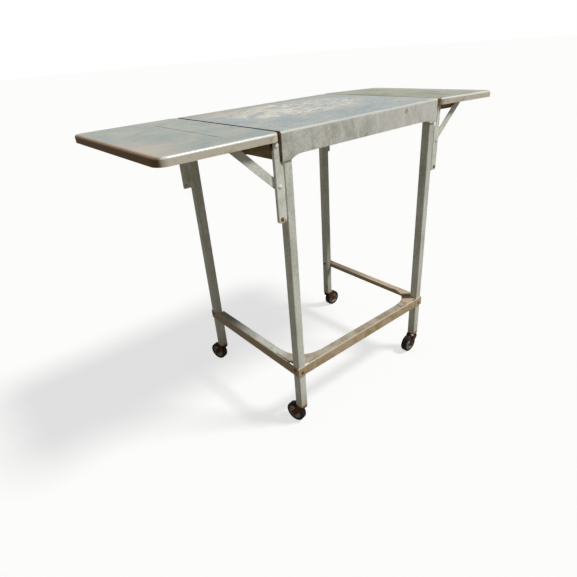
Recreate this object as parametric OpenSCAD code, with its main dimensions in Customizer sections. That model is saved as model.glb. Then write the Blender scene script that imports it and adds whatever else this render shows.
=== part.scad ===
// Rolling typewriter table with two drop leaves on folding brackets.
// Millimetres. +Z is up, the front is -Y, and the origin is on the floor under the middle of the whole table
// as it stands, with its casters at rest.

/* [Top] */
// Height of the work surface above the floor
table_h = 673; // [620:1:740]
// Width of the fixed top, between the leaves
top_w = 448; // [400:0.5:520]
// Depth of the fixed top
top_d = 370; // [330:1:420]
// Thickness of the sheet of the top and its aprons
sheet_t = 1.5; // [1:0.1:2]
// Outer radius of the fold between the deck and an apron
fold_r = 4; // [2.5:0.5:6]
// Depth of the front and back aprons in the middle
apron_h = 42.5; // [30:0.5:46]
// Depth of the aprons at their ears and of the side aprons
ear_h = 50; // [48:0.5:60]
// Width of an ear at its lower end
ear_w = 18.5; // [16:0.5:24]
// Radius of the sweep from an ear to the apron's edge
ear_sweep_r = 47; // [30:1:70]
// Width of the inward flanges of the side aprons
apron_flange_w = 12; // [8:0.5:18]

/* [Stiffeners] */
// Crown width of a hat channel
hat_w = 22; // [14:1:34]
// Depth of a hat channel
hat_h = 7; // [5:0.5:9]
// Width of each foot of a hat channel
hat_foot_w = 8; // [5:0.5:12]
// Thickness of a hat channel
hat_t = 1.2; // [0.8:0.1:1.6]
// Distance of each deck stiffener from the middle of the deck
deck_hat_y = 82; // [50:1:110]
// Distance of a leaf stiffener's middle from the side of the fixed top
leaf_hat_out = 79.5; // [70:0.5:130]

/* [Legs] */
// Outer width of a square leg
leg_w = 20.6; // [18:0.1:24]
// Outer radius of a leg's corners
leg_r = 3.5; // [2.5:0.1:5]
// Wall of a leg
leg_wall = 1.5; // [1:0.1:2]
// Height of the leg ends above the floor
leg_end_z = 53; // [52:0.5:62]
// Gap between a leg and the side apron beside it
leg_gap = 0.3; // [0:0.1:1.5]

/* [Lower frame] */
// Height of the top faces of the stretchers
stretcher_z = 170; // [120:1:240]
// Depth of a stretcher's outer flange
stretcher_h = 24; // [18:0.5:32]
// Width of a stretcher's top flange
stretcher_w = 20; // [16:0.5:28]
// Thickness of the stretchers
stretcher_t = 1.8; // [1.2:0.1:2.4]
// Outer radius of a stretcher's fold
stretcher_r = 4; // [2.6:0.1:6]
// Gap between a leg and the end of a top flange
flange_gap = 12; // [6:0.5:16]
// Reach of a corner gusset from the outer corner
gusset_reach = 80; // [64:1:110]
// Thickness of a gusset
gusset_t = 1.5; // [1:0.1:2.4]
// Radius of a gusset's concave inner edge
gusset_edge_r = 62; // [50:1:110]
// Clearance round a leg where a gusset is notched
gusset_notch_gap = 2; // [1:0.5:6]

/* [Leaves] */
// Reach of a leaf beyond the side of the fixed top
leaf_reach = 229.5; // [224:0.5:270]
// Gap between a leaf and the fixed top
leaf_gap = 2; // [1:0.1:2.6]
// Distance by which a leaf's edges stand beyond the front and back of the fixed top
leaf_lip = 5.5; // [3:0.1:10]
// Thickness of the leaf sheet
leaf_t = 1.2; // [0.8:0.1:1.4]
// Depth of a leaf's rim
rim_h = 14.2; // [11:0.1:14.6]
// Radius of the rolled edge between a leaf's surface and its rim
roll_r = 4; // [2.5:0.1:5]
// Plan radius of a leaf's corners
leaf_corner_r = 20; // [12:0.5:26]
// Angle by which the left leaf hangs below level
droop_left = 0; // [0:0.1:4]
// Angle by which the right leaf hangs below level
droop_right = 1.8; // [0:0.1:4]

/* [Leaf pivots] */
// Distance of a leaf's pivot from the side of the fixed top
pivot_out = 12; // [11.5:0.1:12.3]
// Depth of a leaf's pivot below the work surface
pivot_drop = 21.5; // [21.4:0.1:24]
// Radius of the pivot rivets
pivot_r = 3; // [2:0.1:3.4]
// Radius of the shoulder between a bar and a rail
shoulder_r = 4.5; // [4:0.1:4.7]
// Radius of the rivet heads
head_r = 4.5; // [4:0.1:5]
// Height of the rivet heads
head_h = 1.2; // [0.8:0.1:1.3]

/* [Bracket bars] */
// Width of a bar beyond the side of the fixed top
bar_w = 18; // [17.4:0.1:18.6]
// Thickness of a bar
bar_t = 1.5; // [1:0.1:1.8]
// Outer radius of a bar's folds
bar_fold_r = 2.5; // [2:0.1:3.5]
// Distance of a bar's web behind the front or back face of the fixed top
bar_setback = 2; // [1.6:0.1:4]
// Depth of a bar's outer lip
bar_lip = 5; // [4:0.1:6.5]
// Depth of a bar's flange that lies on the leg
bar_flange = 16; // [14:0.5:17]
// Height of a bar's lower end
bar_end_z = 514; // [500:1:530]
// Radius of a bar's lower outer corner
bar_corner_r = 5; // [2:0.5:8]
// Radius of the ear at the top of a bar
bar_ear_r = 6.5; // [5.5:0.1:6.6]
// Inner edge of the upper part of a bar, where it is notched beside the apron
bar_notch = 6; // [3:0.1:7]
// Height of the slanting lower side of that notch
bar_notch_drop = 10; // [4:0.5:12]
// Height of the rivet near a bar's lower end, above that end
foot_rivet_up = 7; // [6:0.5:12]

/* [Struts] */
// Distance of a strut's lower pivot from the side of the fixed top
strut_foot_out = 9.5; // [9:0.1:10.5]
// Depth of a strut's lower pivot below the leaf's pivot
strut_foot_drop = 70.5; // [64:0.5:78]
// Distance of a strut's upper stud from the side of the fixed top
strut_head_out = 98.5; // [94:0.5:106]
// Depth of a strut's upper stud below the work surface
strut_head_down = 9.5; // [9.3:0.1:10.2]
// Width of a strut
strut_w = 15; // [10:0.5:15.5]
// Thickness of a strut
strut_t = 2; // [1.5:0.1:2.4]
// Radius of the bush between a bar's web and its strut
bush_r = 5.5; // [4.6:0.1:5.8]
// Gap between a strut and the rail behind it
rail_gap = 2; // [1.9:0.1:2.6]
// Thickness of a rail
rail_t = 1.2; // [1:0.1:1.6]
// Width of a rail's flange on the leaf
rail_w = 12; // [8:0.5:16]
// Depth of a rail's slotted part below the work surface
rail_depth = 15.5; // [15:0.1:18]
// Radius of a rail's eye round the leaf's pivot
rail_eye_r = 5; // [4.2:0.1:6]
// Length of a rail's deep heel, from the leaf's pivot
rail_heel = 62; // [40:1:80]
// Length over which a rail's heel tapers to the slotted part
rail_taper = 14; // [8:1:20]
// Metal beyond the end of a rail's slot
rail_end_metal = 5; // [3:0.5:6]

/* [Casters] */
// Diameter of a wheel
wheel_d = 48; // [44:0.5:49]
// Width of a tyre
wheel_w = 16; // [12:0.5:20]
// Diameter of a hub
hub_d = 34; // [26:0.5:36]
// Distance of the wheel's axle from the swivel axis
trail = 18; // [16:0.5:26]
// Radius of an axle
axle_r = 3; // [2:0.1:4]
// Radius of a swivel stem
stem_r = 4; // [3:0.1:5]
// Length of a stem inside its socket
stem_len = 34; // [20:1:45]
// Radius of a fork's crown
crown_r = 11.5; // [10.5:0.1:13]
// Thickness of a fork's plates
fork_t = 2; // [1.5:0.1:2.5]
// Resting direction of the front left caster's trail
swivel_front_left = 100; // [0:1:359]
// Resting direction of the front right caster's trail
swivel_front_right = 182; // [0:1:359]
// Resting direction of the back left caster's trail
swivel_back_left = 107; // [0:1:359]
// Resting direction of the back right caster's trail
swivel_back_right = 359; // [0:1:359]

/* [Fits] */
// Radial clearance of a turning pin in its bore
turn_fit = 0.05; // [0.02:0.01:0.1]
// Clearance between pieces that move past each other
run_gap = 0.3; // [0.2:0.05:0.5]

/* [Hidden] */
$fn = 64;

// Planes of the fixed top: its side faces and its front and back faces
side_x = top_w / 2;
edge_y = top_d / 2;
deck_under_z = table_h - sheet_t;
apron_end_z = table_h - ear_h;

// Legs stand inside the aprons, and end below the deck's fold
leg_inset = sheet_t + leg_gap;
leg_face_x = side_x - leg_inset;
leg_face_y = edge_y - sheet_t;
leg_x = leg_face_x - leg_w / 2;
leg_y = leg_face_y - leg_w / 2;
leg_top_z = deck_under_z - (fold_r - sheet_t);

// Leaf pivots and leaf edges
pivot_x = side_x + pivot_out;
pivot_z = table_h - pivot_drop;
leaf_in_x = side_x + leaf_gap;
leaf_out_x = side_x + leaf_reach;
leaf_under_z = table_h - leaf_t;
leaf_edge_y = edge_y + leaf_lip;

// Layers of a bracket, from the edge of the leaf inwards: the strut passes behind the bar's lip
bar_y = edge_y - bar_setback;
bar_back_y = bar_y - bar_t;
strut_y = bar_y - bar_lip - run_gap;
strut_back_y = strut_y - strut_t;
rail_y = strut_back_y - rail_gap;
strut_bush = bar_back_y - strut_y - run_gap;
leaf_bush = bar_back_y - rail_y - run_gap;

// Strut geometry with the leaf level
strut_foot_x = side_x + strut_foot_out;
strut_foot_z = pivot_z - strut_foot_drop;
foot_from_pivot = strut_foot_out - pivot_out;
head_above_pivot = pivot_drop - strut_head_down;
strut_run = strut_head_out - strut_foot_out;
strut_rise = head_above_pivot + strut_foot_drop;
strut_len = sqrt(strut_run * strut_run + strut_rise * strut_rise);

rail_low_z = table_h - rail_depth;
slot_r = pivot_r + run_gap;
slot_to = stud_reach(90);
rail_end = slot_to + slot_r + rail_end_metal;

// Angle below level at which a leaf rests
function droop(side) = side < 0 ? droop_left : droop_right;

// Place of the strut's stud along the rail, from the leaf's pivot, with the leaf at an angle below level
function stud_reach(angle) =
    let (
        along = -foot_from_pivot * cos(angle) - strut_foot_drop * sin(angle),
        across_x = head_above_pivot * sin(angle) - foot_from_pivot,
        across_z = head_above_pivot * cos(angle) + strut_foot_drop
    )
    sqrt(along * along - across_x * across_x - across_z * across_z + strut_len * strut_len) - along;

// Centre of the strut's stud with the leaf at an angle below level
function stud_at(angle) = [
    pivot_x + stud_reach(angle) * cos(angle) + head_above_pivot * sin(angle),
    pivot_z - stud_reach(angle) * sin(angle) + head_above_pivot * cos(angle)
];

// Casters
wheel_r = wheel_d / 2;
socket_flange_t = 1.2;
socket_fit = 0.1;
socket_r = leg_w / 2 - leg_wall - socket_fit;
crown_top_z = leg_end_z - socket_flange_t - run_gap;
fork_gap = 1.5;
fork_in_y = wheel_w / 2 + fork_gap;
fork_out_y = fork_in_y + fork_t;
tyre_shoulder_r = 3;

// Half of a wheel's extent along Y, with its trail in a direction
function wheel_half_y(heading) = (wheel_r - tyre_shoulder_r) * abs(sin(heading))
    + (wheel_w / 2 - tyre_shoulder_r) * abs(cos(heading)) + tyre_shoulder_r;

// The whole table reaches to the leaves' edges or to a wheel that rests beyond them
function reach_y(end, heading) =
    max(leaf_edge_y, leg_y + end * trail * sin(heading) + wheel_half_y(heading));
back_reach = max(reach_y(1, swivel_back_left), reach_y(1, swivel_back_right));
front_reach = max(reach_y(-1, swivel_front_left), reach_y(-1, swivel_front_right));
middle_y = (back_reach - front_reach) / 2;

// Rivets of the frame; the front ones sit lower than those in the sides, so that they pass in the leg
frame_rivet_r = 2.5;
frame_head_r = 4;
frame_head_h = 1.8;
rivet_offset = frame_head_r - 0.5;
side_rivet_z = stretcher_z - stretcher_h / 2 + rivet_offset;
front_rivet_z = stretcher_z - stretcher_h / 2 - rivet_offset;
bar_rivet_up = 22;
bar_rivet_down = 18;
bar_rivet_zs = [bar_end_z + bar_rivet_up, apron_end_z - bar_rivet_down];
bar_rivet_y = bar_y - bar_flange / 2 - 1;

steel = [0.62, 0.63, 0.60];
worn_steel = [0.52, 0.52, 0.48];
dark_steel = [0.32, 0.29, 0.24];
rust = [0.45, 0.28, 0.17];
hub_grey = [0.5, 0.47, 0.42];
tyre_black = [0.07, 0.07, 0.07];

// Moves a piece, drawn round the middle of the top, to its place round the middle of the whole table
module centred() {
    translate([0, -middle_y, 0]) children();
}

// Copies a piece that is drawn at the back right to another corner of the table
module at_corner(side, end) {
    mirror([side < 0 ? 1 : 0, 0, 0])
        mirror([0, end < 0 ? 1 : 0, 0])
            children();
}

// Lowers a leaf's piece, which is drawn level on the right, to its resting angle
module on_leaf(side) {
    translate([pivot_x, 0, pivot_z])
        rotate([0, droop(side), 0])
            translate([-pivot_x, 0, -pivot_z])
                children();
}

// Repeats a piece that is drawn at the back right at all four corners
module at_all_corners() {
    for (side = [-1, 1])
        for (end = [-1, 1])
            at_corner(side, end) children();
}

// Turns a flat shape into a plate that faces +Y, with its outer face at y
module plate_y(y, thickness) {
    translate([0, y, 0])
        rotate([90, 0, 0])
            linear_extrude(thickness)
                children();
}

// A pin along Y, from y_out inwards
module pin_y(x, y_out, z, r, len) {
    translate([x, y_out, z])
        rotate([90, 0, 0])
            cylinder(r = r, h = len);
}

// A pin along X, from x_out inwards
module pin_x(x_out, y, z, r, len) {
    translate([x_out, y, z])
        rotate([0, -90, 0])
            cylinder(r = r, h = len);
}

// A low rounded rivet head that rises along +Z
module rivet_head(r, h) {
    dome_r = (r * r + h * h) / (2 * h);
    rotate_extrude()
        intersection() {
            translate([0, h - dome_r])
                circle(dome_r, $fn = 96);
            square([r, h]);
        }
}

module rivet_head_y(x, y, z, r, h) {
    translate([x, y, z])
        rotate([-90, 0, 0])
            rivet_head(r, h);
}

module rivet_head_x(x, y, z, r, h) {
    translate([x, y, z])
        rotate([0, 90, 0])
            rivet_head(r, h);
}

// A frame rivet along Y with a head at each end, from y_out inwards
module frame_rivet_y(x, y_out, z, grip) {
    rivet_head_y(x, y_out, z, frame_head_r, frame_head_h);
    pin_y(x, y_out, z, frame_rivet_r, grip);
    translate([0, 2 * (y_out - grip), 0])
        mirror([0, 1, 0])
            rivet_head_y(x, y_out - grip, z, frame_head_r, frame_head_h);
}

// A frame rivet along X with a head at each end, from x_out inwards
module frame_rivet_x(x_out, y, z, grip) {
    rivet_head_x(x_out, y, z, frame_head_r, frame_head_h);
    pin_x(x_out, y, z, frame_rivet_r, grip);
    translate([2 * (x_out - grip), 0, 0])
        mirror([1, 0, 0])
            rivet_head_x(x_out - grip, y, z, frame_head_r, frame_head_h);
}

// Outline of a bar with round ends, from one centre to the other, with a radius at each
module link_2d(from, from_r, to, to_r) {
    run = to - from;
    len = norm(run);
    heading = atan2(run[1], run[0]);
    lean = acos((from_r - to_r) / len);
    function rim_point(centre, r, side) =
        centre + r * [cos(heading + side * lean), sin(heading + side * lean)];
    union() {
        translate(from) circle(from_r);
        translate(to) circle(to_r);
        polygon([
            rim_point(from, from_r, 1), rim_point(to, to_r, 1),
            rim_point(to, to_r, -1), rim_point(from, from_r, -1)
        ]);
    }
}

// Outline that is open below, w wide and h deep from its top edge, with rounded upper corners
module tray_outline(w, h, r) {
    union() {
        translate([-w / 2, -h]) square([w, h - r]);
        translate([-w / 2 + r, -h]) square([w - 2 * r, h]);
        for (side = [-1, 1])
            translate([side * (w / 2 - r), -r]) circle(r);
    }
}

// Outline of a block, w wide and h deep from its upper right corner, with that corner rounded
module block_outline(w, h, r) {
    union() {
        translate([-w, -h]) square([w - r, h]);
        translate([-w, -h]) square([w, h - r]);
        translate([-r, -r]) circle(r);
    }
}

// Square outline, w wide and centred, with rounded corners
module rounded_square(w, r) {
    union() {
        square([w, w - 2 * r], center = true);
        square([w - 2 * r, w], center = true);
        for (sx = [-1, 1], sy = [-1, 1])
            translate([sx, sy] * (w / 2 - r)) circle(r);
    }
}

// Hat channel section: crown down by h, feet at the top
module hat_section() {
    translate([-hat_w / 2, -hat_h]) square([hat_w, hat_t]);
    for (side = [-1, 1]) {
        translate([side * (hat_w / 2 - hat_t / 2) - hat_t / 2, -hat_h]) square([hat_t, hat_h]);
        translate([side * (hat_w / 2 + hat_foot_w / 2 - hat_t / 2) - hat_foot_w / 2, -hat_t])
            square([hat_foot_w, hat_t]);
    }
}

// Edge of the aprons: open in the middle, swept down to an ear at each end
module apron_cutout() {
    sweep_x = ear_w + sqrt(pow(ear_sweep_r, 2) - pow(ear_sweep_r - (ear_h - apron_h), 2));
    below = ear_h;
    translate([-side_x + sweep_x, -ear_h - below])
        square([top_w - 2 * sweep_x, below + ear_h - apron_h]);
    for (side = [-1, 1])
        translate([side * (side_x - sweep_x), -apron_h - ear_sweep_r])
            circle(ear_sweep_r, $fn = 160);
}

module top_panel() {
    color(steel)
        translate([0, 0, table_h])
            difference() {
                translate([-side_x, 0, 0])
                    rotate([90, 0, 90])
                        linear_extrude(top_w)
                            difference() {
                                tray_outline(top_d, ear_h, fold_r);
                                translate([0, -sheet_t])
                                    tray_outline(top_d - 2 * sheet_t, ear_h, fold_r - sheet_t);
                            }
                for (end = [-1, 1])
                    plate_y(end * edge_y + sheet_t * 2, sheet_t * 4) apron_cutout();
            }
}

// Channel under one side edge of the deck, open towards the middle
module side_apron(side) {
    flange_y = leg_y - leg_w / 2 - run_gap;
    apron_y = edge_y - sheet_t;
    color(worn_steel)
        mirror([side < 0 ? 1 : 0, 0, 0]) {
            translate([side_x - sheet_t, 0, deck_under_z])
                rotate([90, 0, 90])
                    linear_extrude(sheet_t)
                        tray_outline(2 * apron_y, ear_h - sheet_t, fold_r - sheet_t);
            for (z = [apron_end_z, deck_under_z - sheet_t])
                translate([side_x - sheet_t - apron_flange_w, -flange_y, z])
                    cube([apron_flange_w, 2 * flange_y, sheet_t]);
        }
}

// Hat channel under the deck, between the side aprons
module deck_stiffener(end) {
    half_len = side_x - sheet_t - apron_flange_w - run_gap;
    color(worn_steel)
        translate([-half_len, end * deck_hat_y, deck_under_z])
            rotate([90, 0, 90])
                linear_extrude(2 * half_len)
                    hat_section();
}

// Square tube, drilled for the rivets of the stretchers and of the bracket bar
module leg(side, end) {
    bore_r = frame_rivet_r + turn_fit;
    color(steel)
        at_corner(side, end)
            difference() {
                translate([leg_x, leg_y, leg_end_z])
                    linear_extrude(leg_top_z - leg_end_z)
                        rounded_square(leg_w, leg_r);
                translate([leg_x, leg_y, leg_end_z - 1])
                    linear_extrude(leg_top_z - leg_end_z + 2)
                        rounded_square(leg_w - 2 * leg_wall, leg_r - leg_wall);
                for (z = bar_rivet_zs)
                    pin_x(leg_face_x + 1, bar_rivet_y, z, bore_r, leg_wall + 2);
                pin_x(leg_face_x + 1, leg_y, side_rivet_z, bore_r, leg_w + 2);
                if (end < 0)
                    pin_y(leg_x, leg_face_y + 1, front_rivet_z, bore_r, leg_w + 2);
            }
}

// Section of a stretcher: outer flange down from the fold, top flange inwards
module angle_section() {
    difference() {
        block_outline(stretcher_w, stretcher_h, stretcher_r);
        translate([-stretcher_t, -stretcher_t])
            block_outline(stretcher_w, stretcher_h, stretcher_r - stretcher_t);
    }
}

// Stretcher along +X, centred, with its outer face on y = 0, its top on z = 0 and its top flange cut back
module stretcher_bar(len, cut_back) {
    difference() {
        translate([-len / 2, 0, 0])
            rotate([90, 0, 90])
                linear_extrude(len)
                    angle_section();
        for (end = [-1, 1])
            translate([end * len / 2 - cut_back, -stretcher_t - stretcher_w, -stretcher_h])
                cube([2 * cut_back, stretcher_w, stretcher_h + 1]);
    }
}

// The front stretcher's outer flange lies on the fronts of the legs and covers the side stretchers' ends
module stretcher_front() {
    face_y = leg_face_y + stretcher_t;
    color(steel)
        difference() {
            translate([0, -face_y, stretcher_z])
                mirror([0, 1, 0])
                    stretcher_bar(2 * (leg_face_x + stretcher_t), stretcher_t + leg_w + flange_gap);
            for (side = [-1, 1])
                at_corner(side, -1)
                    pin_y(leg_x, face_y + 1, front_rivet_z, frame_rivet_r + turn_fit, stretcher_t + 2);
        }
}

// A side stretcher's outer flange lies on the outer sides of the legs
module stretcher_side(side) {
    face_x = leg_face_x + stretcher_t;
    color(steel)
        mirror([side < 0 ? 1 : 0, 0, 0])
            difference() {
                translate([face_x, 0, stretcher_z])
                    rotate([0, 0, -90])
                        stretcher_bar(2 * leg_face_y, leg_w + flange_gap);
                for (end = [-1, 1])
                    pin_x(face_x + 1, end * leg_y, side_rivet_z, frame_rivet_r + turn_fit, stretcher_t + 2);
            }
}

// Corner plate on the top flanges at a front corner, inside their folds and notched round the leg
module gusset(side) {
    outer = stretcher_r - stretcher_t;
    inner = stretcher_w - stretcher_t;
    arc_at = inner + gusset_edge_r;
    notch = leg_w + gusset_notch_gap;
    color(steel)
        mirror([side < 0 ? 1 : 0, 0, 0])
            translate([leg_face_x, -leg_face_y, stretcher_z])
                linear_extrude(gusset_t)
                    difference() {
                        translate([-gusset_reach, outer]) square(gusset_reach - outer);
                        translate([-arc_at, arc_at]) circle(gusset_edge_r, $fn = 160);
                        translate([-inner - gusset_reach, arc_at]) square(gusset_reach);
                        translate([-arc_at - gusset_reach, inner]) square(gusset_reach);
                        translate([-notch, 0]) square(notch);
                    }
}

// Rivets through the stretchers and the legs
module stretcher_rivets() {
    grip = leg_w + stretcher_t;
    color(rust) {
        at_all_corners()
            frame_rivet_x(leg_face_x + stretcher_t, leg_y, side_rivet_z, grip);
        for (side = [-1, 1])
            at_corner(side, -1)
                frame_rivet_y(leg_x, leg_face_y + stretcher_t, front_rivet_z, grip);
    }
}

// Plan of a bar: web to the front, a short outer lip and a deep flange on the leg
module bar_section() {
    outer_w = bar_w + leg_inset;
    difference() {
        tray_outline(outer_w, bar_flange, bar_fold_r);
        translate([0, -bar_t])
            tray_outline(outer_w - 2 * bar_t, bar_flange, bar_fold_r - bar_t);
        translate([outer_w / 2 - bar_t - 1, -bar_flange - 1])
            square([bar_t + 2, bar_flange - bar_lip + 1]);
    }
}

// Face of a bar: full width on the leg, notched beside the apron, with an ear round the pivot
module bar_face() {
    out_x = side_x + bar_w;
    notch_z = apron_end_z - run_gap;
    polygon([
        [leg_face_x, bar_end_z + bar_corner_r], [out_x, bar_end_z + bar_corner_r], [out_x, notch_z],
        [side_x + bar_notch, notch_z], [leg_face_x, notch_z - bar_notch_drop]
    ]);
    translate([leg_face_x, bar_end_z])
        square([out_x - leg_face_x - bar_corner_r, bar_corner_r]);
    translate([out_x - bar_corner_r, bar_end_z + bar_corner_r])
        circle(bar_corner_r);
    translate([side_x + bar_notch, bar_end_z + bar_corner_r])
        square([bar_w - bar_notch, pivot_z - bar_end_z - bar_corner_r]);
    translate([pivot_x, pivot_z])
        circle(bar_ear_r);
}

// Vertical bar of a bracket, riveted to the outer side of a leg; its lip ends below the flat ear
module bracket_bar(side, end) {
    bar_len = pivot_z + bar_ear_r - bar_end_z;
    foot_rivet_z = bar_end_z + foot_rivet_up;
    color(steel)
        at_corner(side, end)
            difference() {
                intersection() {
                    translate([(leg_face_x + side_x + bar_w) / 2, bar_y, bar_end_z])
                        linear_extrude(bar_len)
                            bar_section();
                    plate_y(bar_y + 1, bar_flange + 2)
                        bar_face();
                }
                pin_y(pivot_x, bar_y + 1, pivot_z, pivot_r + turn_fit, bar_t + 2);
                pin_y(strut_foot_x, bar_y + 1, strut_foot_z, pivot_r + turn_fit, bar_t + 2);
                pin_y(strut_foot_x, bar_y + 1, foot_rivet_z, frame_rivet_r + turn_fit, bar_t + 2);
                for (z = bar_rivet_zs)
                    pin_x(leg_face_x + bar_t + 1, bar_rivet_y, z, frame_rivet_r + turn_fit, bar_t + 2);
                translate([side_x, bar_back_y - bar_flange, pivot_z - bar_ear_r])
                    cube([bar_w + 1, bar_flange, 2 * bar_ear_r + 1]);
            }
}

// Rivets of the bars: two into each leg and one near each lower end
module bar_rivets() {
    color(rust)
        at_all_corners() {
            for (z = bar_rivet_zs) {
                rivet_head_x(leg_face_x + bar_t, bar_rivet_y, z, frame_head_r, head_h);
                pin_x(leg_face_x + bar_t, bar_rivet_y, z, frame_rivet_r, bar_t + leg_wall);
            }
            z = bar_end_z + foot_rivet_up;
            rivet_head_y(strut_foot_x, bar_y, z, frame_head_r, head_h);
            pin_y(strut_foot_x, bar_y, z, frame_rivet_r, bar_t);
            translate([0, 2 * bar_back_y, 0])
                mirror([0, 1, 0])
                    rivet_head_y(strut_foot_x, bar_back_y, z, frame_head_r, head_h);
        }
}

// Rivet through a bar's web, with its tail behind the piece that turns on it
module pivot_rivet(x, z, tail_y) {
    rivet_head_y(x, bar_y, z, head_r, head_h);
    pin_y(x, bar_y, z, pivot_r, bar_y - tail_y);
    pin_y(x, tail_y, z, head_r, head_h);
}

// Bush round a pivot rivet, behind a bar's web
module pivot_bush(x, z, r, len) {
    difference() {
        pin_y(x, bar_back_y, z, r, len);
        pin_y(x, bar_back_y + 1, z, pivot_r + turn_fit, len + 2);
    }
}

// Rivets on which the struts turn
module strut_pivot_rivets() {
    color(rust)
        at_all_corners()
            pivot_rivet(strut_foot_x, strut_foot_z, strut_back_y - run_gap);
}

module strut_spacers() {
    color(dark_steel)
        at_all_corners()
            pivot_bush(strut_foot_x, strut_foot_z, bush_r, strut_bush);
}

// Rivets on which the leaves turn
module leaf_pivot_rivets() {
    color(rust)
        at_all_corners()
            pivot_rivet(pivot_x, pivot_z, rail_y - rail_t - run_gap);
}

module leaf_spacers() {
    color(dark_steel)
        at_all_corners()
            pivot_bush(pivot_x, pivot_z, shoulder_r, leaf_bush);
}

// Block from x_in to x_out, top on z = 0, with plan corners of radius corner_r and an upper edge of radius r
module leaf_block(x_in, x_out, half_y, h, r, corner_r) {
    mid_x = (x_in + x_out) / 2;
    half_x = (x_out - x_in) / 2;
    straight_x = half_x - corner_r;
    straight_y = half_y - corner_r;
    module plan(inset) {
        square([2 * straight_x, 2 * (half_y - inset)], center = true);
        square([2 * (half_x - inset), 2 * straight_y], center = true);
        for (sx = [-1, 1], sy = [-1, 1])
            translate([sx * straight_x, sy * straight_y])
                circle(corner_r - inset);
    }
    translate([mid_x, 0, -h]) {
        linear_extrude(h - r) plan(0);
        linear_extrude(h) plan(r);
    }
    translate([mid_x, 0, -r]) {
        for (sy = [-1, 1])
            translate([-straight_x, sy * (half_y - r), 0])
                rotate([0, 90, 0])
                    cylinder(r = r, h = 2 * straight_x);
        for (sx = [-1, 1])
            translate([sx * (half_x - r), straight_y, 0])
                rotate([90, 0, 0])
                    cylinder(r = r, h = 2 * straight_y);
        for (quarter = [0 : 3])
            translate([(quarter == 0 || quarter == 3 ? 1 : -1) * straight_x,
                       (quarter < 2 ? 1 : -1) * straight_y, 0])
                rotate([0, 0, 90 * quarter])
                    rotate_extrude(angle = 90)
                        translate([corner_r - r, 0]) circle(r);
    }
}

// Pressed pan with a rolled upper edge
module leaf(side) {
    color(steel)
        mirror([side < 0 ? 1 : 0, 0, 0])
            on_leaf(side)
                difference() {
                    translate([0, 0, table_h])
                        leaf_block(leaf_in_x, leaf_out_x, leaf_edge_y, rim_h, roll_r, leaf_corner_r);
                    translate([0, 0, leaf_under_z])
                        leaf_block(leaf_in_x + leaf_t, leaf_out_x - leaf_t, leaf_edge_y - leaf_t, rim_h,
                                   roll_r - leaf_t, leaf_corner_r - leaf_t);
                }
}

// Hat channel across the underside of a leaf, between its rails
module leaf_stiffener(side) {
    half_len = rail_y - rail_w - run_gap;
    color(worn_steel)
        mirror([side < 0 ? 1 : 0, 0, 0])
            on_leaf(side)
                translate([side_x + leaf_hat_out, half_len, leaf_under_z])
                    rotate([90, 0, 0])
                        linear_extrude(2 * half_len)
                            hat_section();
}

// Side of a rail: eye round the leaf's pivot, deep heel, and the slotted part under the leaf
module rail_face(slot_from) {
    low = rail_low_z - pivot_z;
    top = leaf_under_z - pivot_z;
    slot_z = pivot_z + head_above_pivot;
    difference() {
        translate([pivot_x, pivot_z])
            union() {
                circle(rail_eye_r);
                translate([-rail_eye_r, 0]) square([rail_eye_r, top]);
                polygon([
                    [0, -rail_eye_r], [rail_heel, -rail_eye_r], [rail_heel + rail_taper, low],
                    [rail_end, low], [rail_end, top], [0, top]
                ]);
            }
        link_2d([pivot_x + slot_from, slot_z], slot_r, [pivot_x + slot_to, slot_z], slot_r);
    }
}

// Angle under a leaf that turns on the bar's pivot and guides the strut's stud in its slot
module strut_rail(side, end) {
    color(worn_steel)
        at_corner(side, end)
            on_leaf(side) {
                difference() {
                    plate_y(rail_y, rail_t) rail_face(stud_reach(droop(side)));
                    pin_y(pivot_x, rail_y + 1, pivot_z, pivot_r + turn_fit, rail_t + 2);
                }
                translate([pivot_x, rail_y - rail_w, leaf_under_z - rail_t])
                    cube([rail_end, rail_w, rail_t]);
            }
}

// Flat diagonal strut with round ends
module strut(side, end) {
    head = stud_at(droop(side));
    heading = atan2(head[1] - strut_foot_z, head[0] - strut_foot_x);
    color(steel)
        at_corner(side, end)
            translate([strut_foot_x, 0, strut_foot_z])
                rotate([0, -heading, 0])
                    difference() {
                        union() {
                            translate([0, strut_back_y, -strut_w / 2])
                                cube([strut_len, strut_t, strut_w]);
                            for (x = [0, strut_len])
                                pin_y(x, strut_y, 0, strut_w / 2, strut_t);
                        }
                        for (x = [0, strut_len])
                            pin_y(x, strut_y + 1, 0, pivot_r + turn_fit, strut_t + 2);
                    }
}

// Stud in a strut's upper end, which reaches up to the slotted rail
module strut_stud(side, end) {
    head = stud_at(droop(side));
    color(rust)
        at_corner(side, end) {
            rivet_head_y(head[0], strut_y, head[1], head_r, head_h);
            pin_y(head[0], strut_y, head[1], pivot_r, strut_t + rail_gap - run_gap);
        }
}

// Sleeves pressed into the leg ends, each with a flange under the leg
module caster_sockets() {
    sleeve_len = stem_len + 4;
    color(rust)
        at_all_corners()
            difference() {
                union() {
                    translate([leg_x, leg_y, leg_end_z - socket_flange_t])
                        linear_extrude(socket_flange_t)
                            rounded_square(leg_w, leg_r);
                    translate([leg_x, leg_y, leg_end_z - socket_flange_t])
                        cylinder(r = socket_r, h = sleeve_len);
                }
                translate([leg_x, leg_y, leg_end_z - socket_flange_t - 1])
                    cylinder(r = stem_r + turn_fit, h = sleeve_len + 2);
            }
}

// Puts a caster piece under its leg and turns its trail to its resting direction
module at_caster(side, end) {
    heading = end < 0
        ? (side < 0 ? swivel_front_left : swivel_front_right)
        : (side < 0 ? swivel_back_left : swivel_back_right);
    translate([side * leg_x, end * leg_y, 0])
        rotate([0, 0, heading])
            children();
}

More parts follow.
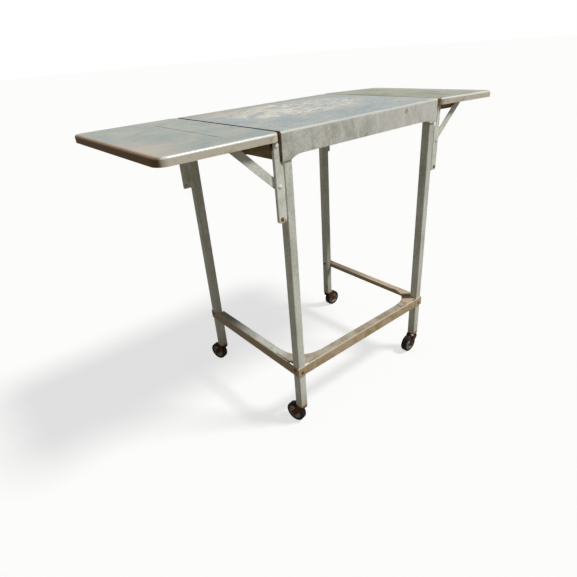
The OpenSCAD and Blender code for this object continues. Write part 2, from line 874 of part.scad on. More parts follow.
// Fork with a round crown, two slanting cheeks and the swivel stem
module caster_yoke(side, end) {
    cheek_foot_r = 6;
    cheek_top_r = 8;
    cheek_top_x = 2;
    color(dark_steel)
        at_caster(side, end)
            difference() {
                union() {
                    translate([0, 0, crown_top_z - fork_t]) cylinder(r = crown_r, h = fork_t);
                    translate([0, 0, crown_top_z]) cylinder(r = stem_r, h = stem_len);
                    for (cheek = [-1, 1])
                        plate_y(cheek > 0 ? fork_out_y : -fork_in_y, fork_t)
                            link_2d([cheek_top_x, crown_top_z - cheek_top_r], cheek_top_r,
                                    [trail, wheel_r], cheek_foot_r);
                }
                pin_y(trail, fork_out_y + 1, wheel_r, axle_r + turn_fit, 2 * fork_out_y + 2);
            }
}

module caster_axle(side, end) {
    axle_head_r = axle_r + 1.5;
    color(rust)
        at_caster(side, end) {
            pin_y(trail, fork_out_y, wheel_r, axle_r, 2 * fork_out_y);
            rivet_head_y(trail, fork_out_y, wheel_r, axle_head_r, head_h);
            mirror([0, 1, 0]) rivet_head_y(trail, fork_out_y, wheel_r, axle_head_r, head_h);
        }
}

// Pressed metal hub: raised boss round the axle, dished face, rim under the tyre
module caster_hub(side, end) {
    dish_depth = 3.5;
    tyre_edge = 1;
    boss_w = wheel_w + 2 * (fork_gap - run_gap);
    face_w = wheel_w - 2 * dish_depth;
    rim_w = wheel_w - 2 * tyre_edge;
    boss_r = axle_r + 3;
    rim_wall = 2.5;
    color(hub_grey)
        at_caster(side, end)
            translate([trail, 0, wheel_r])
                rotate([90, 0, 0])
                    rotate_extrude() {
                        bore_r = axle_r + turn_fit;
                        translate([bore_r, -boss_w / 2]) square([boss_r - bore_r, boss_w]);
                        translate([boss_r, -face_w / 2]) square([hub_d / 2 - boss_r, face_w]);
                        translate([hub_d / 2 - rim_wall, -rim_w / 2]) square([rim_wall, rim_w]);
                    }
}

// Solid tyre with rounded shoulders
module caster_tyre(side, end) {
    color(tyre_black)
        at_caster(side, end)
            translate([trail, 0, wheel_r])
                rotate([90, 0, 0])
                    rotate_extrude($fn = 96) {
                        translate([hub_d / 2, -wheel_w / 2])
                            square([wheel_r - tyre_shoulder_r - hub_d / 2, wheel_w]);
                        translate([hub_d / 2, -wheel_w / 2 + tyre_shoulder_r])
                            square([wheel_r - hub_d / 2, wheel_w - 2 * tyre_shoulder_r]);
                        for (shoulder = [-1, 1])
                            translate([wheel_r - tyre_shoulder_r, shoulder * (wheel_w / 2 - tyre_shoulder_r)])
                                circle(tyre_shoulder_r);
                    }
}

centred() top_panel();
centred() side_apron(-1);  // side_apron_left
centred() side_apron(1);  // side_apron_right
centred() deck_stiffener(-1);  // deck_stiffener_front
centred() deck_stiffener(1);  // deck_stiffener_back
centred() leg(-1, -1);  // leg_front_left
centred() leg(1, -1);  // leg_front_right
centred() leg(-1, 1);  // leg_back_left
centred() leg(1, 1);  // leg_back_right
centred() stretcher_side(-1);  // stretcher_left
centred() stretcher_front();
centred() stretcher_side(1);  // stretcher_right
centred() gusset(-1);  // gusset_left
centred() gusset(1);  // gusset_right
centred() stretcher_rivets();
centred() bar_rivets();
centred() strut_pivot_rivets();
centred() strut_spacers();
centred() bracket_bar(-1, -1);  // bracket_bar_front_left
centred() bracket_bar(1, -1);  // bracket_bar_front_right
centred() bracket_bar(-1, 1);  // bracket_bar_back_left
centred() bracket_bar(1, 1);  // bracket_bar_back_right
centred() leaf(-1);  // leaf_left
centred() leaf(1);  // leaf_right
centred() leaf_stiffener(-1);  // leaf_stiffener_left
centred() leaf_stiffener(1);  // leaf_stiffener_right
centred() leaf_pivot_rivets();
centred() leaf_spacers();
centred() strut_rail(-1, -1);  // strut_rail_front_left
centred() strut_rail(1, -1);  // strut_rail_front_right
centred() strut_rail(-1, 1);  // strut_rail_back_left
centred() strut_rail(1, 1);  // strut_rail_back_right
centred() strut(-1, -1);  // strut_front_left
centred() strut(1, -1);  // strut_front_right
centred() strut(-1, 1);  // strut_back_left
centred() strut(1, 1);  // strut_back_right
centred() strut_stud(-1, -1);  // strut_stud_front_left
centred() strut_stud(1, -1);  // strut_stud_front_right
centred() strut_stud(-1, 1);  // strut_stud_back_left
centred() strut_stud(1, 1);  // strut_stud_back_right
centred() caster_sockets();
centred() caster_yoke(-1, -1);  // caster_yoke_front_left
centred() caster_yoke(1, -1);  // caster_yoke_front_right
centred() caster_yoke(-1, 1);  // caster_yoke_back_left
centred() caster_yoke(1, 1);  // caster_yoke_back_right
centred() caster_axle(-1, -1);  // caster_axle_front_left
centred() caster_axle(1, -1);  // caster_axle_front_right
centred() caster_axle(-1, 1);  // caster_axle_back_left
centred() caster_axle(1, 1);  // caster_axle_back_right
centred() caster_hub(-1, -1);  // caster_hub_front_left
centred() caster_hub(1, -1);  // caster_hub_front_right
centred() caster_hub(-1, 1);  // caster_hub_back_left
centred() caster_hub(1, 1);  // caster_hub_back_right
centred() caster_tyre(-1, -1);  // caster_tyre_front_left
centred() caster_tyre(1, -1);  // caster_tyre_front_right
centred() caster_tyre(-1, 1);  // caster_tyre_back_left
centred() caster_tyre(1, 1);  // caster_tyre_back_right
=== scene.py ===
"""Looks of a worn steel typewriter table: materials, floor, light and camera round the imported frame."""

import math

import bpy
from mathutils import Matrix, Vector


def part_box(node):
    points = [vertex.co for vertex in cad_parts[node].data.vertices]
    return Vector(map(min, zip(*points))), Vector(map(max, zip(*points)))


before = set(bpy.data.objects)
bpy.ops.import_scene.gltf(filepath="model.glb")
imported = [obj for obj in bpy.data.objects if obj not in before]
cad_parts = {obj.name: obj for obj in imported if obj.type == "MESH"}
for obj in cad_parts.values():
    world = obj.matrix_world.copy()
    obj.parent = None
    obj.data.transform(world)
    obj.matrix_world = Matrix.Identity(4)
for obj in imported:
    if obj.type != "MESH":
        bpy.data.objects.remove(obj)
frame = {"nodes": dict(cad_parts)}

# Boxes of the pieces that the wear, the painted highlights and the painted shade follow
deck_low, deck_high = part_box("top_panel")
leaf_low, leaf_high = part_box("leaf_left")
angle_low, angle_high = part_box("stretcher_front")
bar_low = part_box("bracket_bar_front_left")[0]
leg_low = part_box("leg_front_left")[0]

# Places in metres, with x and y counted from the middle of the top
MIDDLE_OF_TOP = Vector((0.0, (deck_low.y + deck_high.y) / 2, 0.0))
TOP = deck_high.z
HALF_WIDTH = deck_high.x
FRONT = deck_low.y - MIDDLE_OF_TOP.y
APRON_FOOT = deck_low.z
LEAF_OUT = -leaf_low.x
LEAF_IN = -leaf_high.x
LEAF_FRONT = leaf_low.y - MIDDLE_OF_TOP.y
ANGLE_TOP = angle_high.z
ANGLE_FRONT = angle_low.y - MIDDLE_OF_TOP.y
BAR_FOOT = bar_low.z
LEG_FOOT = leg_low.z

# The right leaf hangs slightly: its pivot, and how far it falls for each metre out
LEAF_PIVOT = HALF_WIDTH + 0.012
LEAF_FALL = math.tan(math.radians(1.8))

# The line of rust on the left leaf: how far out it runs, and its back and front ends
RUST_LINE_OUT = 0.3095
RUST_LINE_BACK = 0.124
RUST_LINE_FRONT = -0.143

# Spots on the front apron: how far right, how far below the top, and how wide
APRON_SPOTS = ((-0.119, 0.0106, 0.010), (-0.096, 0.0130, 0.007), (-0.147, 0.0224, 0.008),
               (-0.010, 0.0385, 0.012), (0.113, 0.0114, 0.016))

# Camera: its place from the floor under the middle of the top, its two axes, and its focal length on a
# 36 mm wide sensor
EYE = Vector((-0.708, -0.796, 0.7982))
LOOK = Vector((0.53861, 0.6944, -0.47719))
IMAGE_RIGHT = Vector((0.76501, -0.64038, -0.0684))
FOCAL_LENGTH = 27.858
SENSOR_WIDTH = 36.0

# Lamps: directions from the table towards the key light and a weak one behind it, the level at which
# each shows a white sheet that faces it, their width as seen from the table in degrees, and their tints
KEY_FROM = Vector((0.40, -0.39, 0.83))
BACK_FROM = Vector((-0.45, 0.85, 0.30))
KEY_LEVEL = 1.08
BACK_LEVEL = 0.06
KEY_WIDTH = 12.0
BACK_WIDTH = 40.0
KEY_TINT = (1.0, 0.985, 0.95)
WHITE = (1.0, 1.0, 1.0)

# Light of the surroundings: near the horizon and overhead, and the floor's colour in its light
HORIZON = (0.14, 0.13, 0.105)
OVERHEAD = (0.16, 0.17, 0.18)
GROUND = (0.24, 0.22, 0.18)

# The floor as the eye sees it: its own glow, and what light and shadow add to that; and its half width
FLOOR_GLOW = 0.70
FLOOR_TONE = 0.26
FLOOR_REACH = 40.0

# Sockets of a Mix node set to colour
MIX_AMOUNT, MIX_LOW, MIX_HIGH, MIX_RESULT = 0, 6, 7, 2


class Shader:
    """A material with short calls for the nodes that the surfaces here are made of."""

    def __init__(self, name, roughness=0.6, specular=0.25):
        self.material = bpy.data.materials.new(name)
        self.material.use_nodes = True
        self.tree = self.material.node_tree
        self.bsdf = self.tree.nodes["Principled BSDF"]
        self.bsdf.inputs["Roughness"].default_value = roughness
        self.bsdf.inputs["Specular IOR Level"].default_value = specular
        from_middle = self.add("ShaderNodeVectorMath", operation="SUBTRACT")
        self.feed(from_middle.inputs[0], self.add("ShaderNodeTexCoord").outputs["Object"])
        self.feed(from_middle.inputs[1], MIDDLE_OF_TOP)
        self.place = from_middle.outputs["Vector"]

    def add(self, kind, **settings):
        node = self.tree.nodes.new(kind)
        for key, value in settings.items():
            setattr(node, key, value)
        return node

    def feed(self, socket, value):
        """Links an output, or sets a plain value."""
        if isinstance(value, bpy.types.NodeSocket):
            self.tree.links.new(value, socket)
        else:
            socket.default_value = value

    def stretched(self, scale, shift):
        """The place, scaled and then shifted along each axis."""
        mapping = self.add("ShaderNodeMapping")
        self.feed(mapping.inputs["Vector"], self.place)
        self.feed(mapping.inputs["Scale"], scale)
        self.feed(mapping.inputs["Location"], shift)
        return mapping.outputs["Vector"]

    def noise(self, per_metre, detail, rough=0.55, stretch=(1, 1, 1), shift=(0, 0, 0), bend=0.0):
        node = self.add("ShaderNodeTexNoise")
        self.feed(node.inputs["Vector"], self.stretched(stretch, shift))
        self.feed(node.inputs["Scale"], per_metre)
        self.feed(node.inputs["Detail"], detail)
        self.feed(node.inputs["Roughness"], rough)
        self.feed(node.inputs["Distortion"], bend)
        return node.outputs["Fac"]

    def span(self, value, low, high, to_low=0.0, to_high=1.0):
        """Maps low..high smoothly to to_low..to_high, and holds the ends."""
        node = self.add("ShaderNodeMapRange", interpolation_type="SMOOTHSTEP")
        self.feed(node.inputs["Value"], value)
        self.feed(node.inputs["From Min"], low)
        self.feed(node.inputs["From Max"], high)
        self.feed(node.inputs["To Min"], to_low)
        self.feed(node.inputs["To Max"], to_high)
        return node.outputs["Result"]

    def math(self, operation, a, b=0.0):
        node = self.add("ShaderNodeMath", operation=operation)
        self.feed(node.inputs[0], a)
        self.feed(node.inputs[1], b)
        return node.outputs["Value"]

    def times(self, a, b):
        return self.math("MULTIPLY", a, b)

    def axis(self, name):
        node = self.add("ShaderNodeSeparateXYZ")
        self.feed(node.inputs[0], self.place)
        return node.outputs[name]

    def blob(self, centre, radii):
        """1 at centre, falling smoothly to 0 at an ellipsoid of those radii, in metres."""
        shift = tuple(-c / r for c, r in zip(centre, radii))
        length = self.add("ShaderNodeVectorMath", operation="LENGTH")
        self.feed(length.inputs[0], self.stretched(tuple(1 / r for r in radii), shift))
        return self.span(length.outputs["Value"], 0.0, 1.0, 1.0, 0.0)

    def mix(self, amount, low, high, blend="MIX"):
        node = self.add("ShaderNodeMix", data_type="RGBA", blend_type=blend)
        self.feed(node.inputs[MIX_AMOUNT], amount)
        self.feed(node.inputs[MIX_LOW], rgba(low))
        self.feed(node.inputs[MIX_HIGH], rgba(high))
        return node.outputs[MIX_RESULT]

    def bump(self, height, depth, strength):
        node = self.add("ShaderNodeBump")
        self.feed(node.inputs["Height"], height)
        self.feed(node.inputs["Distance"], depth)
        self.feed(node.inputs["Strength"], strength)
        self.feed(self.bsdf.inputs["Normal"], node.outputs["Normal"])

    def finish(self, colour, rough=None, specular=None):
        """Connects what the surface shows, and gives back the material."""
        self.feed(self.bsdf.inputs["Base Color"], colour)
        if rough is not None:
            self.feed(self.bsdf.inputs["Roughness"], rough)
        if specular is not None:
            self.feed(self.bsdf.inputs["Specular IOR Level"], specular)
        return self.material


def rgba(value):
    """A plain colour gets its alpha, and a socket stays as it is."""
    return (*value, 1.0) if isinstance(value, tuple) and len(value) == 3 else value


BLUE_GREY = (0.25, 0.315, 0.335)
WARM_GREY = (0.38, 0.39, 0.36)
CREAM = (0.60, 0.57, 0.49)
CHALK = (0.70, 0.70, 0.65)
OLIVE = (0.155, 0.165, 0.105)
TAN = (0.44, 0.35, 0.24)
# Pale worn metal, also painted on folds as a highlight
WORN_EDGE_AND_HIGHLIGHT = (0.74, 0.75, 0.71)
# Dark dirt, also painted in gaps as shade
GAP_DIRT_AND_SHADE = (0.035, 0.03, 0.025)
RUST = (0.30, 0.13, 0.06)
DARK_RUST = (0.12, 0.06, 0.035)


def mottled(s, low, high, per_metre, shift=(0, 0, 0), stretch=(1, 1, 1)):
    """Cloudy zinc-grey sheet: two tones in broad clouds, with a fine grain over them."""
    clouds = s.span(s.noise(per_metre, 6.0, 0.62, stretch, shift, 0.6), 0.36, 0.64)
    colour = s.mix(clouds, low, high)
    grain = s.span(s.noise(420.0, 3.0, 0.6, stretch, shift), 0.3, 0.7, 0.84, 1.12)
    grey = s.add("ShaderNodeCombineColor")
    for channel in range(3):
        s.feed(grey.inputs[channel], grain)
    return s.mix(1.0, colour, grey.outputs[0], "MULTIPLY")


def rusted(s, colour, cover, tone, per_metre, shift=(0, 0, 0)):
    """Adds ragged rust where cover is above a noise, so that 0 is bare and 1 is rusty all over."""
    grain = s.noise(per_metre, 7.0, 0.68, (1, 1, 1), shift)
    ragged = s.math("ADD", grain, s.math("SUBTRACT", cover, 1.0))
    return s.mix(s.span(ragged, -0.08, 0.1), colour, tone)


def deck_steel():
    """Fixed top: blue-grey in front, cream and chalky streaks along its middle, warmer at the back."""
    s = Shader("deck_steel")
    top = mottled(s, BLUE_GREY, WARM_GREY, 16.0, (0.3, 0.1, 0.0), (0.6, 1.0, 1.0))
    back = s.span(s.axis("Y"), 0.10, 0.17)
    top = s.mix(s.times(back, 0.7), top, (0.30, 0.30, 0.25))
    zone = s.blob((0.0, 0.035, TOP), (0.27, 0.16, 0.2))
    streaks = s.noise(24.0, 8.0, 0.72, (0.5, 1.0, 1.0), (2.1, 0.4, 0.0), 1.8)
    top = s.mix(s.times(s.span(streaks, 0.44, 0.58), s.span(zone, 0.08, 0.45)), top, CREAM)
    tan_zone = s.times(s.blob((-0.115, 0.105, TOP), (0.11, 0.08, 0.1)), s.span(streaks, 0.35, 0.6))
    top = s.mix(s.times(tan_zone, 0.8), top, (0.60, 0.47, 0.34))
    fine = s.noise(64.0, 7.0, 0.74, (0.4, 1.0, 1.0), (0.7, 3.1, 0.0), 2.4)
    top = s.mix(s.times(s.span(fine, 0.56, 0.62), s.span(zone, 0.15, 0.6)), top, CHALK)
    top = s.mix(s.times(s.span(fine, 0.47, 0.39), 0.75), top, (0.17, 0.19, 0.185))
    hair = s.noise(150.0, 6.0, 0.7, (0.3, 1.0, 1.0), (1.7, 0.1, 0.0), 1.6)
    top = s.mix(s.times(s.span(hair, 0.56, 0.66), 0.5), top, (0.56, 0.55, 0.50))
    drips = s.noise(60.0, 5.0, 0.6, (1.0, 1.0, 0.22), (0.0, 0.0, 0.4))
    apron = mottled(s, (0.50, 0.51, 0.48), (0.70, 0.71, 0.67), 40.0, (1.3, 0.0, 0.6), (1.0, 1.0, 0.7))
    apron = s.mix(s.span(s.axis("X"), -0.15, 0.18, 0.0, 0.45), apron, (0.84, 0.84, 0.80))
    apron = s.mix(s.times(s.span(drips, 0.54, 0.68), 0.3), apron, (0.45, 0.42, 0.34))
    stains = s.noise(38.0, 6.0, 0.7, (1.0, 1.0, 1.0), (5.0, 0.0, 0.3), 1.0)
    apron = s.mix(s.times(s.span(stains, 0.57, 0.66), 0.55), apron, (0.52, 0.42, 0.28))
    for x, below, size in APRON_SPOTS:
        spot = s.blob((x, FRONT, TOP - below), (size, 0.02, size))
        apron = rusted(s, apron, s.times(spot, 0.62), TAN, 160.0, (x * 9, 0.0, 0.0))
    height = s.axis("Z")
    # Painted highlight: a pale band along the right edge of the top
    top = s.mix(s.span(s.axis("X"), HALF_WIDTH - 0.0075, HALF_WIDTH - 0.0055, 0.0, 0.6), top, CHALK)
    on_top = s.span(height, TOP - 0.0035, TOP - 0.0012)
    colour = s.mix(on_top, apron, top)
    low_edge = s.times(s.span(height, APRON_FOOT + 0.017, APRON_FOOT + 0.001), 0.46)
    colour = rusted(s, colour, low_edge, TAN, 70.0)
    # Front fold painted pale: partly worn metal, partly a painted highlight
    fold = s.times(s.span(s.axis("Y"), FRONT + 0.0045, FRONT + 0.0025),
                   s.span(height, TOP - 0.0042, TOP - 0.0030))
    colour = s.mix(s.times(fold, 0.45), colour, WORN_EDGE_AND_HIGHLIGHT)
    # Painted shade with some dirt: the top's side edges are darkened along the gap to the leaves
    side = s.span(s.math("ABSOLUTE", s.axis("X")), HALF_WIDTH - 0.0022, HALF_WIDTH - 0.0008)
    behind_front = s.span(s.axis("Y"), FRONT + 0.001, FRONT + 0.005)
    colour = s.mix(s.times(side, s.times(behind_front, 0.85)), colour, GAP_DIRT_AND_SHADE)
    s.bump(s.noise(240.0, 4.0), 0.0006, 0.25)
    return s.finish(colour, s.span(fold, 0.0, 1.0, 0.45, 0.34), s.span(fold, 0.0, 1.0, 0.16, 0.5))


def leaf_steel(side):
    """Drop leaf: cloudy grey or olive, a worn front rim, a brown outer one, a line of rust on the left."""
    s = Shader("leaf_steel_left" if side < 0 else "leaf_steel_right")
    tones = ((0.245, 0.285, 0.275), (0.35, 0.36, 0.315)) if side < 0 else (OLIVE, (0.28, 0.285, 0.21))
    colour = mottled(s, *tones, 14.0, (0.2 * side, 1.7, 0.0))
    height = s.axis("Z")
    if side > 0:
        out_from_pivot = s.math("SUBTRACT", s.axis("X"), LEAF_PIVOT)
        height = s.math("ADD", height, s.times(out_from_pivot, LEAF_FALL))
    dulled = s.span(s.noise(9.0, 3.0, 0.5, (1, 1, 1), (4.0, side, 0.0)), 0.52, 0.7)
    colour = s.mix(s.times(dulled, 0.4), colour, (0.27, 0.31, 0.31) if side < 0 else (0.22, 0.235, 0.17))
    if side < 0:
        pink = s.times(s.span(s.axis("X"), -0.36, -0.44), s.span(s.axis("Y"), 0.08, -0.10))
        colour = s.mix(s.times(pink, 0.55), colour, (0.47, 0.40, 0.33))
        green = s.times(s.span(s.axis("X"), -0.33, -0.43), s.span(s.axis("Y"), 0.04, 0.15))
        colour = s.mix(s.times(green, 0.45), colour, (0.33, 0.36, 0.28))
    else:
        colour = s.mix(s.span(s.axis("X"), 0.37, 0.43, 0.0, 0.6), colour, (0.40, 0.39, 0.31))
    out = s.times(s.axis("X"), side)
    outer = s.span(out, LEAF_OUT - 0.0095, LEAF_OUT - 0.0035)
    inner = s.times(s.span(out, LEAF_IN + 0.017, LEAF_IN + 0.002),
                    s.span(s.axis("Y"), LEAF_FRONT + 0.0255, LEAF_FRONT + 0.0085))
    front = s.span(s.axis("Y"), LEAF_FRONT + 0.0075, LEAF_FRONT + 0.0015)
    rim = s.span(height, TOP - 0.0018, TOP - 0.0050)
    colour = s.mix(s.times(front, rim), colour, (0.66, 0.62, 0.53))
    colour = s.mix(s.times(outer, 0.9), colour, (0.32, 0.20, 0.11))
    # Painted shade: the outer face of the rim is darker than the brown band along its top
    outer_face_shade = s.times(outer, s.span(height, TOP - 0.0014, TOP - 0.0040))
    colour = s.mix(outer_face_shade, colour, (0.20, 0.14, 0.085))
    cover = s.math("MAXIMUM", s.times(s.times(front, rim), 0.42), s.times(inner, 0.80))
    colour = rusted(s, colour, cover, (0.50, 0.36, 0.25), 42.0, (side, 0.0, 0.0))
    colour = rusted(s, colour, s.times(cover, 0.72), (0.38, 0.20, 0.11), 75.0, (0.0, side, 0.0))
    if side < 0:
        across = s.math("ABSOLUTE", s.math("ADD", s.axis("X"), RUST_LINE_OUT))
        along = s.times(s.span(s.axis("Y"), RUST_LINE_BACK, RUST_LINE_BACK - 0.008),
                        s.span(s.axis("Y"), RUST_LINE_FRONT, RUST_LINE_FRONT + 0.015))
        line = s.times(s.span(across, 0.0021, 0.0010), along)
        faint = s.times(s.span(s.noise(60.0, 3.0), 0.3, 0.6, 0.5, 1.0),
                        s.span(height, TOP - 0.0011, TOP - 0.0005))
        colour = s.mix(s.times(line, faint), colour, (0.14, 0.075, 0.05))
    # Front roll painted pale: partly worn metal, partly a painted highlight
    roll = s.times(s.span(s.axis("Y"), LEAF_FRONT + 0.0053, LEAF_FRONT + 0.0030),
                   s.span(height, TOP - 0.0042, TOP - 0.0030))
    colour = s.mix(s.times(roll, 0.7), colour, WORN_EDGE_AND_HIGHLIGHT)
    # Painted shade with some dirt: the leaf's inner edge is darkened along the gap to the top
    colour = s.mix(s.span(out, LEAF_IN + 0.0032, LEAF_IN + 0.0015, 0.0, 0.85), colour, GAP_DIRT_AND_SHADE)
    s.bump(s.noise(200.0, 4.0), 0.0006, 0.22)
    gloss = s.times(s.span(height, TOP - 0.0050, TOP - 0.0015, 0.25, 1.0), s.span(roll, 0.0, 1.0, 0.16, 0.9))
    gloss = s.times(gloss, s.span(outer, 0.0, 1.0, 1.0, 0.1))
    return s.finish(colour, s.span(roll, 0.0, 1.0, 0.44, 0.30), gloss)


def tube_steel():
    """Legs: pale grey with faint upright streaks, and brown at the lower ends."""
    s = Shader("leg_steel", roughness=0.6, specular=0.03)
    colour = mottled(s, (0.60, 0.62, 0.56), (0.76, 0.78, 0.72), 26.0, (0.0, 0.6, 0.0), (1.0, 1.0, 0.35))
    low = s.span(s.axis("Z"), 0.42, 0.12)
    colour = s.mix(s.times(low, 0.4), colour, (0.70, 0.72, 0.66))
    streaks = s.noise(150.0, 4.0, 0.6, (1.0, 1.0, 0.06), (0.0, 2.0, 0.0))
    colour = s.mix(s.times(s.span(streaks, 0.55, 0.68), 0.4), colour, (0.45, 0.44, 0.36))
    dusty = s.span(s.axis("Z"), LEG_FOOT + 0.057, LEG_FOOT + 0.007)
    colour = s.mix(s.times(dusty, 0.6), colour, (0.47, 0.43, 0.34))
    ends = s.times(s.span(s.axis("Z"), LEG_FOOT + 0.022, LEG_FOOT - 0.003), 0.62)
    colour = rusted(s, colour, ends, (0.42, 0.25, 0.15), 80.0, (0.0, 1.0, 0.0))
    s.bump(s.noise(260.0, 3.0), 0.0005, 0.2)
    return s.finish(colour)


def bracket_steel():
    """Bracket bars and struts: pale grey with a few brown specks, a little rust at the bars' lower ends."""
    s = Shader("bracket_steel", roughness=0.6, specular=0.04)
    colour = mottled(s, (0.69, 0.71, 0.65), (0.87, 0.88, 0.83), 34.0, (0.9, 0.2, 0.0))
    ends = s.times(s.span(s.axis("Z"), BAR_FOOT + 0.022, BAR_FOOT), s.span(s.axis("Y"), -0.1, 0.1, 0.55, 0.2))
    ends = s.times(ends, s.span(s.axis("X"), -0.1, 0.1, 1.0, 0.4))
    colour = rusted(s, colour, ends, (0.50, 0.36, 0.25), 75.0)
    specks = s.span(s.noise(300.0, 5.0, 0.7, (1, 1, 1), (0.0, 0.4, 0.0)), 0.63, 0.7)
    colour = s.mix(s.times(specks, 0.5), colour, TAN)
    s.bump(s.noise(240.0, 3.0), 0.0005, 0.2)
    return s.finish(colour)


def stretcher_steel():
    """Lower frame: tan-stained, browner on the front angle's face, grey along the left angle's top."""
    s = Shader("stretcher_steel", roughness=0.65, specular=0.03)
    colour = mottled(s, (0.31, 0.26, 0.19), (0.43, 0.38, 0.31), 26.0, (0.4, 0.4, 0.4))
    left = s.times(s.span(s.axis("X"), -0.17, -0.21), s.span(s.axis("Y"), -0.15, -0.11))
    grey = mottled(s, (0.38, 0.385, 0.34), (0.52, 0.53, 0.49), 30.0, (0.0, 1.1, 0.0))
    colour = s.mix(s.times(left, 0.9), colour, grey)
    right = s.span(s.axis("X"), 0.14, 0.19)
    colour = s.mix(s.times(right, 0.7), colour, (0.52, 0.40, 0.28))
    # Painted light: the left angle's outer face, which is in shade, is painted brown for warm light bounced
    # onto it
    out = s.span(s.axis("X"), 0.0025 - HALF_WIDTH, 0.0015 - HALF_WIDTH)
    colour = s.mix(s.times(out, 0.8), colour, (0.45, 0.34, 0.22))
    face = s.times(s.span(s.axis("Z"), ANGLE_TOP - 0.0015, ANGLE_TOP - 0.0045),
                   s.span(s.axis("Y"), ANGLE_FRONT + 0.0028, ANGLE_FRONT + 0.0018))
    brown = mottled(s, (0.42, 0.30, 0.17), (0.56, 0.45, 0.31), 34.0, (0.0, 0.0, 2.1))
    colour = s.mix(face, colour, brown)
    cover = s.span(s.noise(11.0, 3.0, 0.5, (1, 1, 1), (0.0, 5.0, 0.0)), 0.45, 0.75, 0.18, 0.52)
    colour = rusted(s, colour, cover, (0.26, 0.165, 0.10), 110.0)
    # Painted highlight: a pale band along the rounded top edge of the angles
    edge_highlight = s.times(s.span(s.axis("Z"), ANGLE_TOP - 0.0038, ANGLE_TOP - 0.0010),
                   s.span(s.axis("Z"), ANGLE_TOP, ANGLE_TOP - 0.0006))
    colour = s.mix(s.times(edge_highlight, 0.5), colour, (0.62, 0.55, 0.44))
    s.bump(s.noise(220.0, 4.0), 0.0006, 0.3)
    return s.finish(colour)


def dull_steel(name, low, high, rust_cover):
    """Pieces under the top: dull grey-brown sheet with some rust."""
    s = Shader(name, roughness=0.7, specular=0.03)
    colour = mottled(s, low, high, 24.0, (0.0, 0.0, 1.9))
    cover = s.span(s.noise(14.0, 3.0), 0.4, 0.7, 0.15, rust_cover)
    colour = rusted(s, colour, cover, DARK_RUST, 90.0)
    s.bump(s.noise(200.0, 4.0), 0.0006, 0.3)
    return s.finish(colour)


def rusty_steel(name, tone=RUST, dark=DARK_RUST, per_metre=260.0):
    """Rivets, sleeves and forks: rust all over, in two browns with a rough skin."""
    s = Shader(name, roughness=0.85, specular=0.1)
    patches = s.noise(per_metre, 6.0, 0.65, (1, 1, 1), (0.5, 0.0, 0.2), 0.5)
    colour = s.mix(s.span(patches, 0.38, 0.62), dark, tone)
    s.bump(s.noise(per_metre * 3.0, 5.0), 0.0006, 0.6)
    return s.finish(colour)


def bar_rivet_steel():
    """Rivets of the bars: grey, but at the front bars' feet rusty on the left and dark on the right."""
    s = Shader("bar_rivet_steel", roughness=0.7, specular=0.1)
    colour = mottled(s, (0.52, 0.53, 0.48), (0.68, 0.69, 0.64), 160.0)
    rust = s.mix(s.span(s.noise(260.0, 6.0, 0.65), 0.38, 0.62), DARK_RUST, RUST)
    foot = s.times(s.span(s.axis("Z"), BAR_FOOT + 0.017, BAR_FOOT + 0.012), s.span(s.axis("Y"), 0.1, -0.1))
    on_left = s.span(s.axis("X"), 0.1, -0.1)
    colour = s.mix(foot, colour, s.mix(on_left, (0.10, 0.09, 0.075), rust))
    s.bump(s.noise(600.0, 4.0), 0.0004, 0.4)
    return s.finish(colour)


def hub_metal():
    """Caster hubs: worn grey metal with brown in its dish."""
    s = Shader("hub_metal", roughness=0.6, specular=0.2)
    colour = mottled(s, (0.26, 0.22, 0.175), (0.48, 0.43, 0.37), 150.0)
    colour = rusted(s, colour, 0.38, DARK_RUST, 190.0)
    s.bump(s.noise(500.0, 4.0), 0.0004, 0.4)
    return s.finish(colour)


def tyre_rubber():
    """Tyres: black, greyed by dust in patches."""
    s = Shader("tyre_rubber", roughness=0.8, specular=0.12)
    dust = s.noise(130.0, 6.0, 0.7, (1, 1, 1), (0.0, 0.8, 0.0), 0.6)
    colour = s.mix(s.span(dust, 0.48, 0.72), (0.012, 0.010, 0.009), (0.07, 0.055, 0.042))
    s.bump(s.noise(700.0, 3.0), 0.0004, 0.35)
    return s.finish(colour)


def dress(frame):
    """Gives every CAD node the material of its piece."""
    under = dull_steel("under_steel", (0.23, 0.17, 0.09), (0.36, 0.28, 0.17), 0.65)
    rivet = rusty_steel("rivet_rust")
    fork = rusty_steel("fork_rust", (0.12, 0.055, 0.03), (0.03, 0.018, 0.012), 180.0)
    leg, bracket, stretcher = tube_steel(), bracket_steel(), stretcher_steel()
    hub, tyre = hub_metal(), tyre_rubber()
    looks = {
        "top_panel": deck_steel(),
        "leaf_left": leaf_steel(-1),
        "leaf_right": leaf_steel(1),
        "side_apron": under,
        "deck_stiffener": under,
        "leaf_stiffener": under,
        "strut_rail": under,
        "leg_": leg,
        "stretcher_rivets": rivet,
        "bar_rivets": bar_rivet_steel(),
        "strut_pivot_rivets": bracket,
        "leaf_pivot_rivets": bracket,
        "strut_stud": bracket,
        "strut_spacers": fork,
        "leaf_spacers": fork,
        "stretcher_": stretcher,
        "gusset_": stretcher,
        "bracket_bar": bracket,
        "strut_": bracket,
        "caster_sockets": rivet,
        "caster_yoke": fork,
        "caster_axle": fork,
        "caster_hub": hub,
        "caster_tyre": tyre,
    }
    for node, obj in frame["nodes"].items():
        start = next(key for key in looks if node.startswith(key))
        obj.data.materials.clear()
        obj.data.materials.append(looks[start])


def seen_directly(tree):
    """1 for rays that come straight from the camera, or off or through a shiny surface."""
    path = tree.nodes.new("ShaderNodeLightPath")
    seen = path.outputs["Is Camera Ray"]
    for kind in ("Is Glossy Ray", "Is Transmission Ray"):
        either = tree.nodes.new("ShaderNodeMath")
        either.operation = "MAXIMUM"
        tree.links.new(seen, either.inputs[0])
        tree.links.new(path.outputs[kind], either.inputs[1])
        seen = either.outputs[0]
    return seen


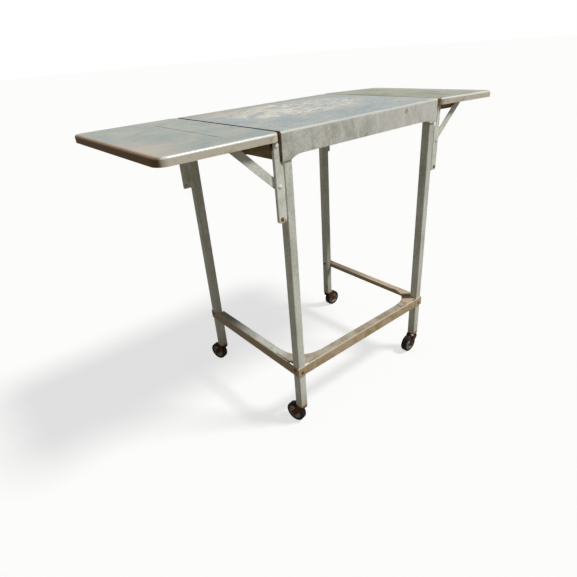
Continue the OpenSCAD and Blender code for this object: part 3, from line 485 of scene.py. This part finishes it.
def make_floor():
    """Floor that is white with a pale shadow for the eye, and of the ground's colour to other rays."""
    s = Shader("floor_white", roughness=1.0, specular=0.0)
    seen = seen_directly(s.tree)
    s.finish(s.mix(seen, GROUND, (FLOOR_TONE,) * 3))
    s.feed(s.bsdf.inputs["Emission Color"], rgba(WHITE))
    s.feed(s.bsdf.inputs["Emission Strength"], s.times(seen, FLOOR_GLOW))
    mesh = bpy.data.meshes.new("floor")
    corners = [Vector((x, y, 0)) * FLOOR_REACH for x, y in ((-1, -1), (1, -1), (1, 1), (-1, 1))]
    mesh.from_pydata(corners, [], [(0, 1, 2, 3)])
    floor = bpy.data.objects.new("floor", mesh)
    bpy.context.scene.collection.objects.link(floor)
    floor.data.materials.append(s.material)


def make_world():
    """White behind the table for the eye, and an even soft light, a little bluer overhead."""
    world = bpy.data.worlds.new("sky")
    bpy.context.scene.world = world
    world.use_nodes = True
    tree = world.node_tree
    direction = tree.nodes.new("ShaderNodeTexCoord")
    parts = tree.nodes.new("ShaderNodeSeparateXYZ")
    tree.links.new(direction.outputs["Generated"], parts.inputs[0])
    height = tree.nodes.new("ShaderNodeMapRange")
    tree.links.new(parts.outputs["Z"], height.inputs["Value"])
    sky = tree.nodes.new("ShaderNodeMix")
    sky.data_type = "RGBA"
    tree.links.new(height.outputs["Result"], sky.inputs[MIX_AMOUNT])
    sky.inputs[MIX_LOW].default_value = rgba(HORIZON)
    sky.inputs[MIX_HIGH].default_value = rgba(OVERHEAD)
    colour = tree.nodes.new("ShaderNodeMix")
    colour.data_type = "RGBA"
    tree.links.new(seen_directly(tree), colour.inputs[MIX_AMOUNT])
    tree.links.new(sky.outputs[MIX_RESULT], colour.inputs[MIX_LOW])
    colour.inputs[MIX_HIGH].default_value = rgba(WHITE)
    background = tree.nodes["Background"]
    tree.links.new(colour.outputs[MIX_RESULT], background.inputs["Color"])
    background.inputs["Strength"].default_value = 1.0


def make_lamp(name, towards, level, width, tint):
    """A distant lamp under which a white sheet that faces it shows at that level."""
    light = bpy.data.lights.new(name, "SUN")
    light.energy = level * math.pi
    light.angle = math.radians(width)
    light.color = tint
    lamp = bpy.data.objects.new(name, light)
    bpy.context.scene.collection.objects.link(lamp)
    lamp.rotation_mode = "QUATERNION"
    lamp.rotation_quaternion = towards.to_track_quat("Z", "Y")


def make_camera():
    """The camera from which the table was seen."""
    data = bpy.data.cameras.new("photo_view")
    data.lens = FOCAL_LENGTH
    data.sensor_width = SENSOR_WIDTH
    data.clip_start = 0.01
    data.clip_end = 200.0
    camera = bpy.data.objects.new("photo_view", data)
    bpy.context.scene.collection.objects.link(camera)
    look = LOOK.normalized()
    right = (IMAGE_RIGHT - look * IMAGE_RIGHT.dot(look)).normalized()
    up = right.cross(look)
    turn = Matrix((right, up, -look)).transposed().to_4x4()
    camera.matrix_world = Matrix.Translation(EYE + MIDDLE_OF_TOP) @ turn
    bpy.context.scene.camera = camera


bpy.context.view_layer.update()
bpy.context.scene.view_settings.view_transform = "Standard"
make_camera()
make_world()
make_floor()
make_lamp("key_light", KEY_FROM, KEY_LEVEL, KEY_WIDTH, KEY_TINT)
make_lamp("back_light", BACK_FROM, BACK_LEVEL, BACK_WIDTH, WHITE)
dress(frame)
